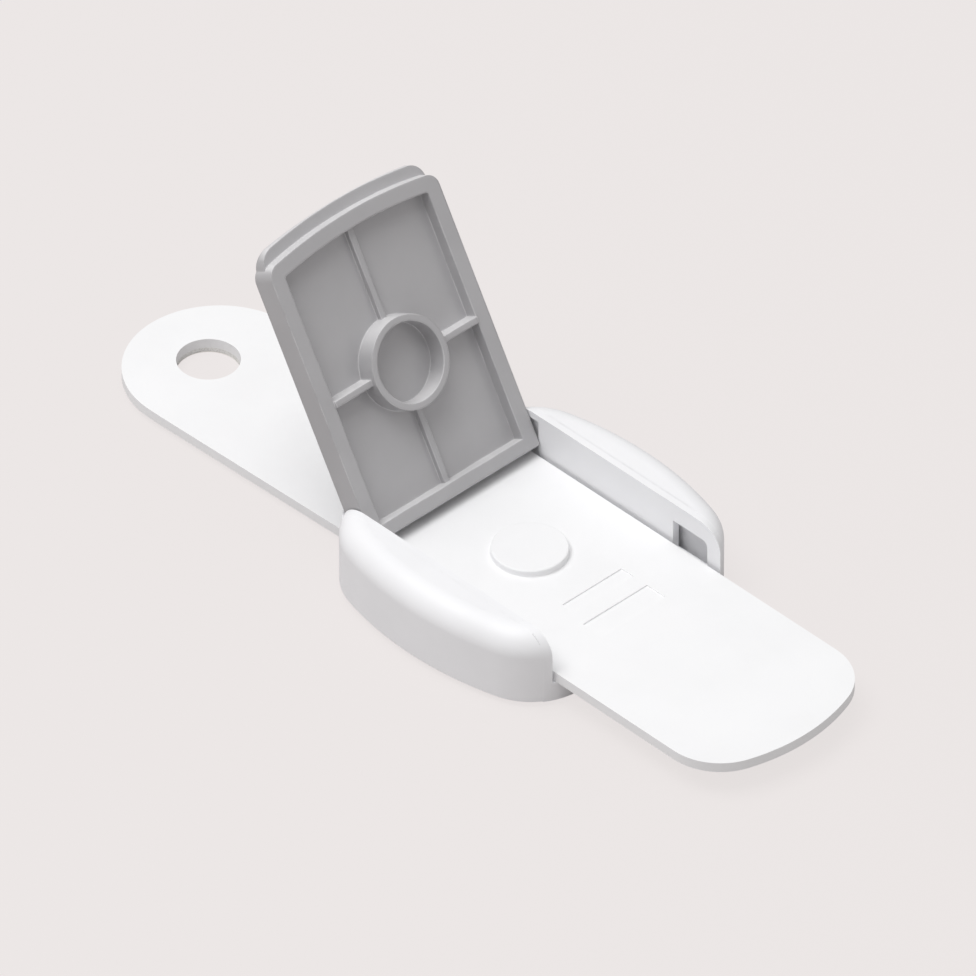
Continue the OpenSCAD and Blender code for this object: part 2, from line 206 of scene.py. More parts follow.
class Effects:
    """Shader groups that more than one finish uses, each built once."""

    _made: dict[str, bpy.types.NodeTree] = {}

    @classmethod
    def _new(
        cls, name: str, inputs: dict[str, float], outputs: Sequence[str],
    ) -> tuple[Sheet, bpy.types.Node, bpy.types.Node]:
        """Make an empty group whose named sockets are all plain numbers.

        Args:
            name: The group's name.
            inputs: For each input its value.
            outputs: The names of the outputs.

        Returns:
            The sheet, its input node and its output node.
        """
        kind = "NodeSocketFloat"
        tree = bpy.data.node_groups.new(name, "ShaderNodeTree")
        for label, value in inputs.items():
            socket = tree.interface.new_socket(name=label, in_out="INPUT", socket_type=kind)
            socket.default_value = value
        for label in outputs:
            tree.interface.new_socket(name=label, in_out="OUTPUT", socket_type=kind)
        sheet = Sheet(tree)
        source = tree.nodes.new("NodeGroupInput")
        result = tree.nodes.new("NodeGroupOutput")
        cls._made[name] = tree
        return sheet, source, result

    @classmethod
    def place(cls, sheet: Sheet, name: str, sockets: dict[str, object]) -> bpy.types.Node:
        """Put a group into a material.

        Args:
            sheet: The material's sheet.
            name: The group's name, which is also the name of the method that builds it.
            sockets: Values or output sockets for the group's inputs.

        Returns:
            The group node.
        """
        if name not in cls._made:
            getattr(cls, name)()
        node = sheet.tree.nodes.new("ShaderNodeGroup")
        node.node_tree = cls._made[name]
        for label, value in sockets.items():
            sheet.feed(node.inputs[label], value)
        return node

    @classmethod
    def moulded_grain(cls) -> None:
        """Build fine spark-eroded grain, with slow flow mottling of tone and gloss."""
        fine_height, fine_gloss, wave_gloss = 0.35, 0.5, 0.5
        inputs = {"Grain": 0.12 * MM, "Mottle": 9 * MM, "Waviness": 4 * MM}
        sheet, source, result = cls._new("moulded_grain", inputs, ("Height", "Tone", "Gloss"))
        place = sheet.place()
        fine = sheet.noise(place, source.outputs["Grain"], detail=2.0)
        waves = sheet.noise(place, source.outputs["Waviness"], detail=1.0)
        mottle = sheet.noise(place, source.outputs["Mottle"], detail=4.0)
        gloss = sheet.plus(sheet.times(fine, fine_gloss), sheet.times(waves, wave_gloss))
        sheet.feed(result.inputs["Height"], sheet.plus(sheet.times(fine, fine_height), waves))
        sheet.feed(result.inputs["Tone"], sheet.ramp(mottle, low=0.3, high=0.7))
        sheet.feed(result.inputs["Gloss"], sheet.ramp(gloss, low=0.35, high=0.65))

    @classmethod
    def edge_wear_and_highlight(cls) -> None:
        """Build a mask of edges and corners in patches, for edges rubbed by hands and painted edge
        highlights.
        """
        inputs = {"Width": 0.3 * MM, "Patches": 5 * MM}
        sheet, source, result = cls._new("edge_wear_and_highlight", inputs, ("Mask",))
        flat = sheet.add("NewGeometry").outputs["Normal"]
        rounded = sheet.add("Bevel", {"Radius": source.outputs["Width"]}, samples=6).outputs[0]
        dot = sheet.add("VectorMath", {0: rounded, 1: flat}, operation="DOT_PRODUCT")
        edge = sheet.ramp(dot.outputs["Value"], low=0.995, high=0.9)
        blobs = sheet.noise(sheet.place(), source.outputs["Patches"], detail=5.0)
        patches = sheet.ramp(blobs, low=0.35, high=0.62)
        sheet.feed(result.inputs["Mask"], sheet.times(edge, patches, clamp=True))

    @classmethod
    def dust_and_up_highlight(cls) -> None:
        """Mask up-facing faces: dust and lint, over an even cover that paints a highlight."""
        drift_size, drift_share, speck_share = 14 * MM, 0.5, 0.35
        inputs = {"Speck": 0.5 * MM, "Veil": 0.0}
        sheet, source, result = cls._new("dust_and_up_highlight", inputs, ("Mask",))
        normal = sheet.add("NewGeometry").outputs["Normal"]
        up = sheet.ramp(sheet.add("SeparateXYZ", {0: normal}).outputs["Z"], low=0.4, high=0.95)
        place = sheet.place()
        drifts = sheet.ramp(sheet.noise(place, drift_size, detail=4.0), low=0.42, high=0.72)
        lint = sheet.noise(place, source.outputs["Speck"], detail=6.0)
        specks = sheet.ramp(lint, low=0.62, high=0.7)
        soft, spotty = sheet.times(drifts, drift_share), sheet.times(specks, speck_share)
        both = sheet.plus(soft, spotty, clamp=True)
        covered = sheet.plus(both, source.outputs["Veil"], clamp=True)
        sheet.feed(result.inputs["Mask"], sheet.times(up, covered, clamp=True))

    @classmethod
    def hairlines(cls) -> None:
        """Build fine straight scratches, from handling or from drawing a wire."""
        slant, deepest = (0.35, 0.2, 0.6), 0.9
        inputs = {"Length": 6 * MM, "Width": 0.08 * MM, "Cover": 0.7}
        sheet, source, result = cls._new("hairlines", inputs, ("Height", "Mask"))
        turned = sheet.add("Mapping", {"Vector": sheet.place(), "Rotation": slant}).outputs[0]
        along = sheet.math("DIVIDE", 1.0, source.outputs["Length"])
        across = sheet.math("DIVIDE", 1.0, source.outputs["Width"])
        scale = sheet.add("CombineXYZ", {0: along, 1: across, 2: across}).outputs[0]
        stretched = sheet.add("VectorMath", {0: turned, 1: scale}, operation="MULTIPLY").outputs[0]
        lines = sheet.noise(stretched, 1.0, detail=1.0)
        limits = {"Value": lines, "From Min": source.outputs["Cover"], "From Max": deepest}
        shown = sheet.add("MapRange", limits).outputs["Result"]
        sheet.feed(result.inputs["Height"], sheet.math("SUBTRACT", 1.0, shown))
        sheet.feed(result.inputs["Mask"], shown)


# Finishes


@dataclass(frozen=True)
class Finish:
    """What every finish has: a name, a colour, a gloss and how far its edges look rounded off."""

    name: str
    colour: Colour
    roughness: float
    soften: float = 0.0

    def material(self) -> bpy.types.Material:
        """Build the material, once for each finish.

        Returns:
            The material.
        """
        made = bpy.data.materials.get(self.name)
        if made is None:
            made = bpy.data.materials.new(self.name)
            made.use_nodes = True
            made.diffuse_color = (*self.colour, 1.0)
            sheet = Sheet(made.node_tree)
            sockets = {"Base Color": (*self.colour, 1.0), "Roughness": self.roughness}
            shader = sheet.add("BsdfPrincipled", sockets)
            sheet.add("OutputMaterial", {0: shader.outputs[0]})
            self.detail(sheet, shader)
        return made

    def detail(self, sheet: Sheet, shader: bpy.types.Node) -> None:
        """Add what sets this finish apart."""
        raise NotImplementedError

    def bump(self, sheet: Sheet, shader: bpy.types.Node, height: object, depth: float) -> None:
        """Feed a height into the shader's normal.

        Args:
            sheet: The material's sheet.
            shader: Its principled shader.
            height: The socket that gives the height, from 0 to 1.
            depth: How deep a height of 1 is, in metres.
        """
        sockets = {"Height": height, "Distance": depth, "Strength": 1.0}
        if self.soften:
            sockets["Normal"] = sheet.add("Bevel", {"Radius": self.soften}, samples=8).outputs[0]
        sheet.feed(shader.inputs["Normal"], sheet.add("Bump", sockets).outputs[0])


@dataclass(frozen=True)
class MouldedPlastic(Finish):
    """Injection-moulded plastic: grain, flow mottling, rubbed edges, dust and painted highlights.
    """

    shade: Colour = (0.8, 0.8, 0.8)
    # Colour along the edge mask: lighter rubbed edges, and on the grey lid a painted highlight
    edge: Colour = (0.9, 0.9, 0.9)
    grain: float = 0.14 * MM
    mottle: float = 11 * MM
    waviness: float = 5 * MM
    depth: float = 0.006 * MM
    gloss_shift: float = 0.07
    coat: float = 0.0
    coat_roughness: float = 0.2
    edge_mix: float = 0.5
    wear_width: float = 0.35 * MM
    edge_patches: float = 6 * MM
    wear_polish: float = 0.1
    # Dust on faces that look up; strong and over an even cover, as on the grey lid, it is a
    # painted highlight
    dust: float = 0.12
    veil: float = 0.0
    speck: float = 0.45 * MM
    dust_dulling: float = 0.25
    dust_and_highlight_colour: Colour = (0.75, 0.75, 0.74)
    scratch_length: float = 7 * MM
    scratch_width: float = 0.1 * MM
    scratch_cover: float = 0.74
    scratch_dulling: float = 0.12
    scratch_height: float = 0.3

    def detail(self, sheet: Sheet, shader: bpy.types.Node) -> None:
        """Mix the tones and cut the grain and the hairlines.

        Args:
            sheet: The material's sheet.
            shader: Its principled shader.
        """
        sheet.feed(shader.inputs["Coat Weight"], self.coat)
        sheet.feed(shader.inputs["Coat Roughness"], self.coat_roughness)
        skin = Effects.place(sheet, "moulded_grain", {
            "Grain": self.grain, "Mottle": self.mottle, "Waviness": self.waviness})
        edge_mix = Effects.place(sheet, "edge_wear_and_highlight", {
            "Width": self.wear_width, "Patches": self.edge_patches}).outputs["Mask"]
        dust = Effects.place(sheet, "dust_and_up_highlight", {
            "Speck": self.speck, "Veil": self.veil}).outputs["Mask"]
        lines = Effects.place(sheet, "hairlines", {
            "Length": self.scratch_length, "Width": self.scratch_width,
            "Cover": self.scratch_cover})
        body = sheet.mix(skin.outputs["Tone"], self.shade, self.colour)
        # Edge colour over the edge mask: rubbed edges, and on the grey lid a painted edge
        # highlight
        edge_toned = sheet.mix(sheet.times(edge_mix, self.edge_mix), body, self.edge)
        # Dust colour on up-facing faces: real dust and lint, and on the grey lid mostly a painted
        # highlight
        with_dust_and_highlight = sheet.mix(sheet.times(dust, self.dust), edge_toned, self.dust_and_highlight_colour)
        sheet.feed(shader.inputs["Base Color"], with_dust_and_highlight)
        shift = sheet.times(skin.outputs["Gloss"], self.gloss_shift)
        clean = sheet.plus(shift, self.roughness - self.gloss_shift / 2)
        dull = sheet.times(dust, self.dust_dulling)
        scuffed = sheet.times(lines.outputs["Mask"], self.scratch_dulling)
        rough = sheet.plus(clean, sheet.plus(dull, scuffed))
        rubbed = sheet.times(edge_mix, self.wear_polish)
        sheet.feed(shader.inputs["Roughness"], sheet.math("SUBTRACT", rough, rubbed, clamp=True))
        cuts = sheet.times(lines.outputs["Height"], self.scratch_height)
        self.bump(sheet, shader, sheet.plus(skin.outputs["Height"], cuts), self.depth)


@dataclass(frozen=True)
class ClosedCellFoam(Finish):
    """Adhesive foam with small closed cells that show along its cut edge."""

    shade: Colour = (0.6, 0.6, 0.58)
    cell: float = 0.22 * MM
    patch: float = 2.2 * MM
    depth: float = 0.06 * MM
    skin_gloss: float = 0.1
    pit_dulling: float = 0.15
    cut_length: float = 2.5 * MM
    cut_width: float = 0.15 * MM
    cut_cover: float = 0.62
    cut_height: float = 0.3

    def detail(self, sheet: Sheet, shader: bpy.types.Node) -> None:
        """Draw cells as small pits, with painted shade in their hollows, and cut streaks.

        Args:
            sheet: The material's sheet.
            shader: Its principled shader.
        """
        place = sheet.place()
        spread = {"Vector": place, "Scale": 1 / self.cell, "Randomness": 1.0}
        cells = sheet.add("TexVoronoi", spread)
        pits = sheet.ramp(cells.outputs["Distance"], low=0.15, high=0.55)
        lines = Effects.place(sheet, "hairlines", {
            "Length": self.cut_length, "Width": self.cut_width, "Cover": self.cut_cover})
        patches = sheet.noise(place, self.patch, detail=3.0)
        # Darker where the pits sink, which is painted shade in the cell hollows, and in random
        # patches
        tone = sheet.ramp(sheet.times(patches, pits), low=0.1, high=0.5)
        sheet.feed(shader.inputs["Base Color"], sheet.mix(tone, self.shade, self.colour))
        rough = sheet.plus(self.roughness - self.skin_gloss, sheet.times(pits, self.pit_dulling))
        sheet.feed(shader.inputs["Roughness"], rough)
        cuts = sheet.times(lines.outputs["Height"], self.cut_height)
        self.bump(sheet, shader, sheet.plus(pits, cuts), self.depth)


@dataclass(frozen=True)
class ReleaseFilm(Finish):
    """Peel-off liner: a waxy film with faint creases and a fibrous tone."""

    shade: Colour = (0.5, 0.4, 0.2)
    crease: float = 7 * MM
    depth: float = 0.03 * MM
    fibre_length: float = 1.6 * MM
    fibre_width: float = 0.12 * MM
    fibre_cover: float = 0.55
    fibre_tone: float = 0.5
    grain: float = 0.3 * MM
    grain_height: float = 0.1
    mottle: float = 6 * MM
    waviness: float = 3 * MM
    gloss_shift: float = 0.12

    def detail(self, sheet: Sheet, shader: bpy.types.Node) -> None:
        """Draw soft creases and fibres.

        Args:
            sheet: The material's sheet.
            shader: Its principled shader.
        """
        creases = sheet.noise(sheet.place(), self.crease, detail=2.0)
        fibres = Effects.place(sheet, "hairlines", {
            "Length": self.fibre_length, "Width": self.fibre_width, "Cover": self.fibre_cover})
        skin = Effects.place(sheet, "moulded_grain", {
            "Grain": self.grain, "Mottle": self.mottle, "Waviness": self.waviness})
        tone = sheet.times(fibres.outputs["Mask"], self.fibre_tone)
        sheet.feed(shader.inputs["Base Color"], sheet.mix(tone, self.colour, self.shade))
        rough = sheet.plus(self.roughness, sheet.times(skin.outputs["Tone"], self.gloss_shift))
        sheet.feed(shader.inputs["Roughness"], rough)
        grain = sheet.times(skin.outputs["Height"], self.grain_height)
        self.bump(sheet, shader, sheet.plus(creases, grain), self.depth)


@dataclass(frozen=True)
class DrawnSteel(Finish):
    """Plain steel wire and screws with fine drawing lines."""

    shade: Colour = (0.35, 0.35, 0.36)
    bright: Colour = (0.8, 0.8, 0.81)
    stain: float = 1.2 * MM
    tarnish: float = 0.6
    edge_mix: float = 0.5
    wear_width: float = 0.12 * MM
    edge_patches: float = 1.5 * MM
    line_length: float = 3 * MM
    line_width: float = 0.05 * MM
    line_cover: float = 0.5
    line_dulling: float = 0.2
    depth: float = 0.008 * MM

    def detail(self, sheet: Sheet, shader: bpy.types.Node) -> None:
        """Draw the drawing lines and a light tarnish.

        Args:
            sheet: The material's sheet.
            shader: Its principled shader.
        """
        sheet.feed(shader.inputs["Metallic"], 1.0)
        lines = Effects.place(sheet, "hairlines", {
            "Length": self.line_length, "Width": self.line_width, "Cover": self.line_cover})
        edge_mix = Effects.place(sheet, "edge_wear_and_highlight", {
            "Width": self.wear_width, "Patches": self.edge_patches}).outputs["Mask"]
        stains = sheet.ramp(sheet.noise(sheet.place(), self.stain, detail=4.0), low=0.4, high=0.75)
        body = sheet.mix(sheet.times(stains, self.tarnish), self.colour, self.shade)
        edge_toned = sheet.mix(sheet.times(edge_mix, self.edge_mix), body, self.bright)
        sheet.feed(shader.inputs["Base Color"], edge_toned)
        rough = sheet.plus(self.roughness, sheet.times(lines.outputs["Mask"], self.line_dulling))
        sheet.feed(shader.inputs["Roughness"], rough)
        self.bump(sheet, shader, lines.outputs["Height"], self.depth)


WHITE_BODY = MouldedPlastic(
    "white_body", tint(243, 243, 245), 0.44, shade=tint(240, 240, 242), edge=tint(249, 249, 250))
WHITE_STRAP = MouldedPlastic(
    "white_strap", tint(245, 245, 246), 0.5, shade=tint(242, 242, 243), edge=tint(250, 250, 250),
    mottle=16 * MM)
# The lid's light edge colour and strong light dust are painted highlights on its edges and
# up-facing faces
GREY_LID = MouldedPlastic(
    "grey_lid", tint(178, 177, 179), 0.34, soften=0.5 * MM, coat=0.4, shade=tint(173, 172, 174),
    edge=tint(224, 223, 225), edge_mix=0.8, dust=0.75, veil=0.8, dust_and_highlight_colour=tint(240, 239, 240))
# The foam's shade colour is painted shade in its cell pits
FOAM = ClosedCellFoam("pad_foam", tint(240, 240, 238), 0.85, shade=tint(222, 222, 219))
LINER = ReleaseFilm("release_liner", tint(238, 235, 226), 0.3, shade=tint(229, 225, 212))
STEEL = DrawnSteel("drawn_steel", (0.6, 0.61, 0.63), 0.28)


# Meshes


def new_piece(name: str, bm: bmesh.types.BMesh) -> bpy.types.Object:
    """Turn a bmesh into an object of the scene.

    Args:
        name: The piece's name.
        bm: Its mesh, which is freed.

    Returns:
        The object.
    """
    bmesh.ops.recalc_face_normals(bm, faces=bm.faces)
    mesh = bpy.data.meshes.new(name)
    bm.to_mesh(mesh)
    bm.free()
    piece = bpy.data.objects.new(name, mesh)
    bpy.context.scene.collection.objects.link(piece)
    return piece


def shade_smooth(piece: bpy.types.Object) -> None:
    """Shade a piece smooth, with sharp edges past an angle and flat faces kept flat.

    Args:
        piece: The piece, which also gets a modifier that weighs its normals by area.
    """
    piece.data.shade_smooth()
    piece.data.set_sharp_from_angle(angle=math.radians(SHARP_ANGLE))
    weighted = piece.modifiers.new("flat_faces", "WEIGHTED_NORMAL")
    weighted.keep_sharp = True
    weighted.weight = FLAT_WEIGHT


def fold(edge: bmesh.types.BMEdge) -> float:
    """The angle between an edge's two faces, in degrees, or 0 on a rim."""
    return math.degrees(edge.calc_face_angle(0.0)) if len(edge.link_faces) == 2 else 0.0


def every_edge(edge: bmesh.types.BMEdge) -> bool:
    """Take any edge, for a round that leaves none out."""
    return True


def join_lines(bm: bmesh.types.BMesh, first: Line, second: Line) -> None:
    """Join two open lines of as many points with a band of faces."""
    for index in range(len(first) - 1):
        bm.faces.new((first[index], first[index + 1], second[index + 1], second[index]))


def join_rings(bm: bmesh.types.BMesh, first: Line, second: Line) -> None:
    """Join two closed rings of as many points with a band of faces."""
    join_lines(bm, [*first, first[0]], [*second, second[0]])


def round_edges(
    bm: bmesh.types.BMesh, edges: list[bmesh.types.BMEdge], width: float, steps: int,
) -> None:
    """Round edges of a mesh, less where there is no room.

    Args:
        bm: The mesh.
        edges: Its edges to round.
        width: How far the round reaches from each edge.
        steps: How many faces make up the round.
    """
    bmesh.ops.bevel(
        bm, geom=edges, offset=width, offset_type="OFFSET", segments=steps, profile=0.5,
        affect="EDGES", clamp_overlap=True)


@dataclass(frozen=True)
class EdgeRound:
    """One round of edge rounding: how wide, which edges, how fine."""

    width: float
    test: EdgeTest
    steps: int = 3


def rounded_copy(node: str, name: str, rounds: Sequence[EdgeRound]) -> bpy.types.Object:
    """Copy a CAD node's mesh and round its edges.

    Args:
        node: The CAD node.
        name: The new piece's name.
        rounds: The rounds, in order.

    Returns:
        The piece, which stands for the node but doesn't ride yet.
    """
    bm = bmesh.new()
    bm.from_mesh(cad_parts[node].data)
    bmesh.ops.remove_doubles(bm, verts=bm.verts, dist=WELD)
    bmesh.ops.dissolve_limit(
        bm, angle_limit=math.radians(FLAT_ANGLE), use_dissolve_boundaries=False, verts=bm.verts,
        edges=bm.edges)
    for each in rounds:
        bm.normal_update()
        edges = [edge for edge in bm.edges if fold(edge) > SHARP_ANGLE and each.test(edge)]
        if edges:
            round_edges(bm, edges, each.width, each.steps)
    piece = new_piece(name, bm)
    shade_smooth(piece)
    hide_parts(node)
    return piece


def finish_piece(piece: bpy.types.Object, finish: Finish, body: str) -> None:
    """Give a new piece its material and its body.

    Args:
        piece: The piece.
        finish: What it looks like.
        body: The CAD body that it rides on.
    """
    piece.data.materials.clear()
    piece.data.materials.append(finish.material())
    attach(piece, body)
    LOG.info("%s: %d faces", piece.name, len(piece.data.polygons))


def dress_node(node: str, finish: Finish) -> None:
    """Give a CAD node its material, on every slot of its object.

    Args:
        node: The CAD node.
        finish: What it looks like.
    """
    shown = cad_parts[node]
    if not shown.material_slots:
        shown.data.materials.append(finish.material())
    for slot in shown.material_slots:
        slot.link = "OBJECT"
        slot.material = finish.material()
    LOG.info("%s: dressed", node)


# The lock's sub-assemblies


def on_arc(x: float, y: float, radius: float, turn: float) -> tuple[float, float]:
    """Find the point of a circle about (x, y) that lies at an angle from the X axis."""
    return x + radius * math.cos(turn), y + radius * math.sin(turn)


@dataclass
class BodyPlan:
    """The body seen from above: long bowed sides and round corners that touch them."""

    half_w: float = 26.9 * MM
    front: float = 25.6 * MM
    rear: float = 25 * MM
    side_r: float = 62 * MM
    front_corner_r: float = 11.4 * MM
    rear_corner_r: float = 12.4 * MM
    side_steps: int = 40
    corner_steps: int = 18

    def corner(self, reach: float, radius: float) -> tuple[float, float, float]:
        """Place a corner arc that touches the body's end and its long side.

        Args:
            reach: How far the body's end lies from the middle of the disc.
            radius: The arc's radius.

        Returns:
            How far the arc's centre lies along the body and across it, and the angle at which
            the arc meets the long side, from the Y axis.
        """
        gap = self.side_r - radius
        turn = math.asin((reach - radius) / gap)
        return reach - radius, self.half_w - self.side_r + gap * math.cos(turn), turn

    def outline(self, inset: float, from_y: float) -> list[tuple[float, float]]:
        """Follow the far half of the plan from its front to its rear.

        Args:
            inset: How far inside the plan the line runs.
            from_y: The line starts and ends at this Y.

        Returns:
            The points, as many for every inset.
        """
        front_x, front_y, front_turn = self.corner(self.front, self.front_corner_r)
        rear_x, rear_y, rear_turn = self.corner(self.rear, self.rear_corner_r)
        front_r, rear_r = self.front_corner_r - inset, self.rear_corner_r - inset
        start = math.asin(max(-1.0, min(1.0, (from_y - front_y) / front_r)))
        end = math.pi - math.asin(max(-1.0, min(1.0, (from_y - rear_y) / rear_r)))
        quarter = math.pi / 2
        arcs = (
            (front_x, front_y, front_r, start, quarter - front_turn, self.corner_steps),
            (0.0, self.half_w - self.side_r, self.side_r - inset, quarter - front_turn,
             quarter + rear_turn, self.side_steps),
            (-rear_x, rear_y, rear_r, quarter + rear_turn, end, self.corner_steps),
        )
        points = []
        for centre_x, centre_y, radius, first, last, steps in arcs:
            for step in range(steps):
                turn = first + (last - first) * step / steps
                points.append(on_arc(centre_x, centre_y, radius, turn))
        points.append(on_arc(-rear_x, rear_y, rear_r, end))
        return points


@dataclass
class Cheeks:
    """The two hollow rounded covers beside the channel."""

    plan: BodyPlan = field(default_factory=BodyPlan)
    inner_y: float = 19.9 * MM
    seam_lap: float = 0.04 * MM
    low: float = 0.85 * MM
    high: float = 13.75 * MM
    edge_r: float = 4.2 * MM
    shell: float = 1.5 * MM
    round_steps: int = 12
    rim_fold: float = 45.0
    rim_round: float = 0.22 * MM
    rim_steps: int = 3
    boss_r: float = 2 * MM
    boss_low: float = 2.65 * MM
    boss_high: float = 12.55 * MM
    boss_chamfer: float = 0.3 * MM
    boss_steps: int = 32
    hole_r: float = 1 * MM
    hole_high: float = 7.85 * MM
    boss_x: float = 8 * MM
    boss_y: float = 22.65 * MM
    web_x: tuple[float, float] = (12.4 * MM, 21.6 * MM)
    web_back: float = 0.9 * MM
    web: float = 0.6 * MM
    web_steps: int = 24

    def layers(self, inset: float) -> list[tuple[float, float]]:
        """List the layers of one face of the shell, from the rim to the flat top.

        Args:
            inset: How far inside the outer face it lies.

        Returns:
            The inset and the height of each layer.
        """
        radius = self.edge_r - inset
        centre = self.high - self.edge_r
        turns = [math.pi / 2 * step / self.round_steps for step in range(self.round_steps + 1)]
        return [(inset, self.low)] + [
            (self.edge_r - radius * math.cos(turn), centre + radius * math.sin(turn))
            for turn in turns]

    def loft(self, bm: bmesh.types.BMesh, side: Side, inset: float) -> list[Line]:
        """Loft one face of the shell.

        Args:
            bm: The cheek's mesh.
            side: Which cheek.
            inset: How far inside the outer face it lies.

        Returns:
            The points of each layer, from the rim to the flat top.
        """
        rows = []
        for inward, height in self.layers(inset):
            line = self.plan.outline(inward, self.inner_y - self.seam_lap)
            rows.append([bm.verts.new((x, side.value * y, height)) for x, y in line])
        for lower, upper in zip(rows, rows[1:]):
            join_lines(bm, lower, upper)
        bm.faces.new(rows[-1])
        return rows

    def build(self, side: Side) -> bpy.types.Object:
        """Loft the outer and the inner face, close them along the rims and add the bosses.

        Args:
            side: Which cheek.

        Returns:
            The piece.
        """
        bm = bmesh.new()
        outer = self.loft(bm, side, 0.0)
        inner = self.loft(bm, side, self.shell)
        join_lines(bm, outer[0], inner[0])
        for end in (0, -1):
            join_lines(bm, [row[end] for row in outer], [row[end] for row in inner])
        bm.faces.new((outer[-1][0], outer[-1][-1], inner[-1][-1], inner[-1][0]))
        bmesh.ops.recalc_face_normals(bm, faces=bm.faces)
        rim_top = self.low + WELD
        rim = [
            edge for edge in bm.edges
            if fold(edge) > self.rim_fold and all(vert.co.z < rim_top for vert in edge.verts)]
        round_edges(bm, rim, self.rim_round, self.rim_steps)
        for x in (-self.boss_x, self.boss_x):
            self.add_boss(bm, x, side.value * self.boss_y)
        self.add_web(bm, side)
        node = f"{side.name.lower()}_cheek"
        piece = new_piece(f"{node}_cover", bm)
        shade_smooth(piece)
        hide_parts(node)
        return piece

    def add_boss(self, bm: bmesh.types.BMesh, x: float, y: float) -> None:
        """Add one screw boss with its blind hole.

        Args:
            bm: The cheek's mesh.
            x: The boss's place along the lock.
            y: Its place across the lock.
        """
        chamfer = self.boss_chamfer
        section = (
            (self.boss_r, self.boss_high), (self.boss_r, self.boss_low + chamfer / 2),
            (self.boss_r - chamfer / 2, self.boss_low), (self.hole_r + chamfer, self.boss_low),
            (self.hole_r, self.boss_low + chamfer), (self.hole_r, self.hole_high))
        turns = [2 * math.pi * step / self.boss_steps for step in range(self.boss_steps)]
        rings = []
        for radius, height in section:
            rings.append([bm.verts.new((*on_arc(x, y, radius, turn), height)) for turn in turns])
        for lower, upper in zip(rings, rings[1:]):
            join_rings(bm, lower, upper)
        for ring in (rings[0], rings[-1]):
            bm.faces.new(ring)

    def roof(self, x: float, y: float) -> float:
        """Find how high the middle of the shell lies over a point in the cheek's front half.

        Args:
            x: The point's place along the lock.
            y: Its distance from the lock's middle plane.

        Returns:
            The height.
        """
        corner_x, corner_y, _ = self.plan.corner(self.plan.front, self.plan.front_corner_r)
        past = math.hypot(max(0.0, x - corner_x), max(0.0, y - corner_y))
        inward = self.plan.front_corner_r - past
        radius = self.edge_r - self.shell / 2
        run = min(radius, max(0.0, self.edge_r - inward))
        return self.high - self.edge_r + math.sqrt(radius ** 2 - run ** 2)

    def add_web(self, bm: bmesh.types.BMesh, side: Side) -> None:
        """Add the web that stands behind the window in the channel wall.

        Args:
            bm: The cheek's mesh.
            side: Which cheek.
        """
        rings = []
        front_y = self.inner_y + self.web_back
        for y in (front_y, front_y + self.web):
            ring = [bm.verts.new((x, side.value * y, self.boss_low)) for x in self.web_x]
            for step in range(self.web_steps + 1):
                x = self.web_x[1] + (self.web_x[0] - self.web_x[1]) * step / self.web_steps
                ring.append(bm.verts.new((x, side.value * y, self.roof(x, y))))
            rings.append(ring)
            bm.faces.new(ring)
        join_rings(bm, *rings)

    def dress(self) -> None:
        """Build and finish both cheeks."""
        for side in Side:
            finish_piece(self.build(side), WHITE_BODY, "frame")


@dataclass
class Tray:
    """The channel's floor, its walls and the stop of the open lid."""

    edge: float = 0.18 * MM
    edge_steps: int = 2
    shortest: float = 0.5 * MM
    seam_y: float = 19.9 * MM

    def shows(self, edge: bmesh.types.BMEdge) -> bool:
        """Is an edge long enough to round, and clear of the seam beside the cheeks?"""
        on_seam = all(abs(abs(vert.co.y) - self.seam_y) < TOLERANCE for vert in edge.verts)
        return edge.calc_length() > self.shortest and not on_seam

    def dress(self) -> None:
        """Round the tray's longer edges, but not those along the seam, which lies flush."""
        rounds = (EdgeRound(self.edge, self.shows, self.edge_steps),)
        finish_piece(rounded_copy("tray", "channel_tray", rounds), WHITE_BODY, "frame")


@dataclass
class Mounting:
    """The mounting plate with its finger tail, and what lies under it."""

    edge: float = 0.28 * MM

    def dress(self) -> None:
        """Round the plate's edges and dress its foam and liner."""
        rounds = (EdgeRound(self.edge, every_edge),)
        plate = rounded_copy("mounting_plate", "tail_plate", rounds)
        finish_piece(plate, WHITE_STRAP, "frame")
        dress_node("plate_foam", FOAM)
        dress_node("plate_liner", LINER)


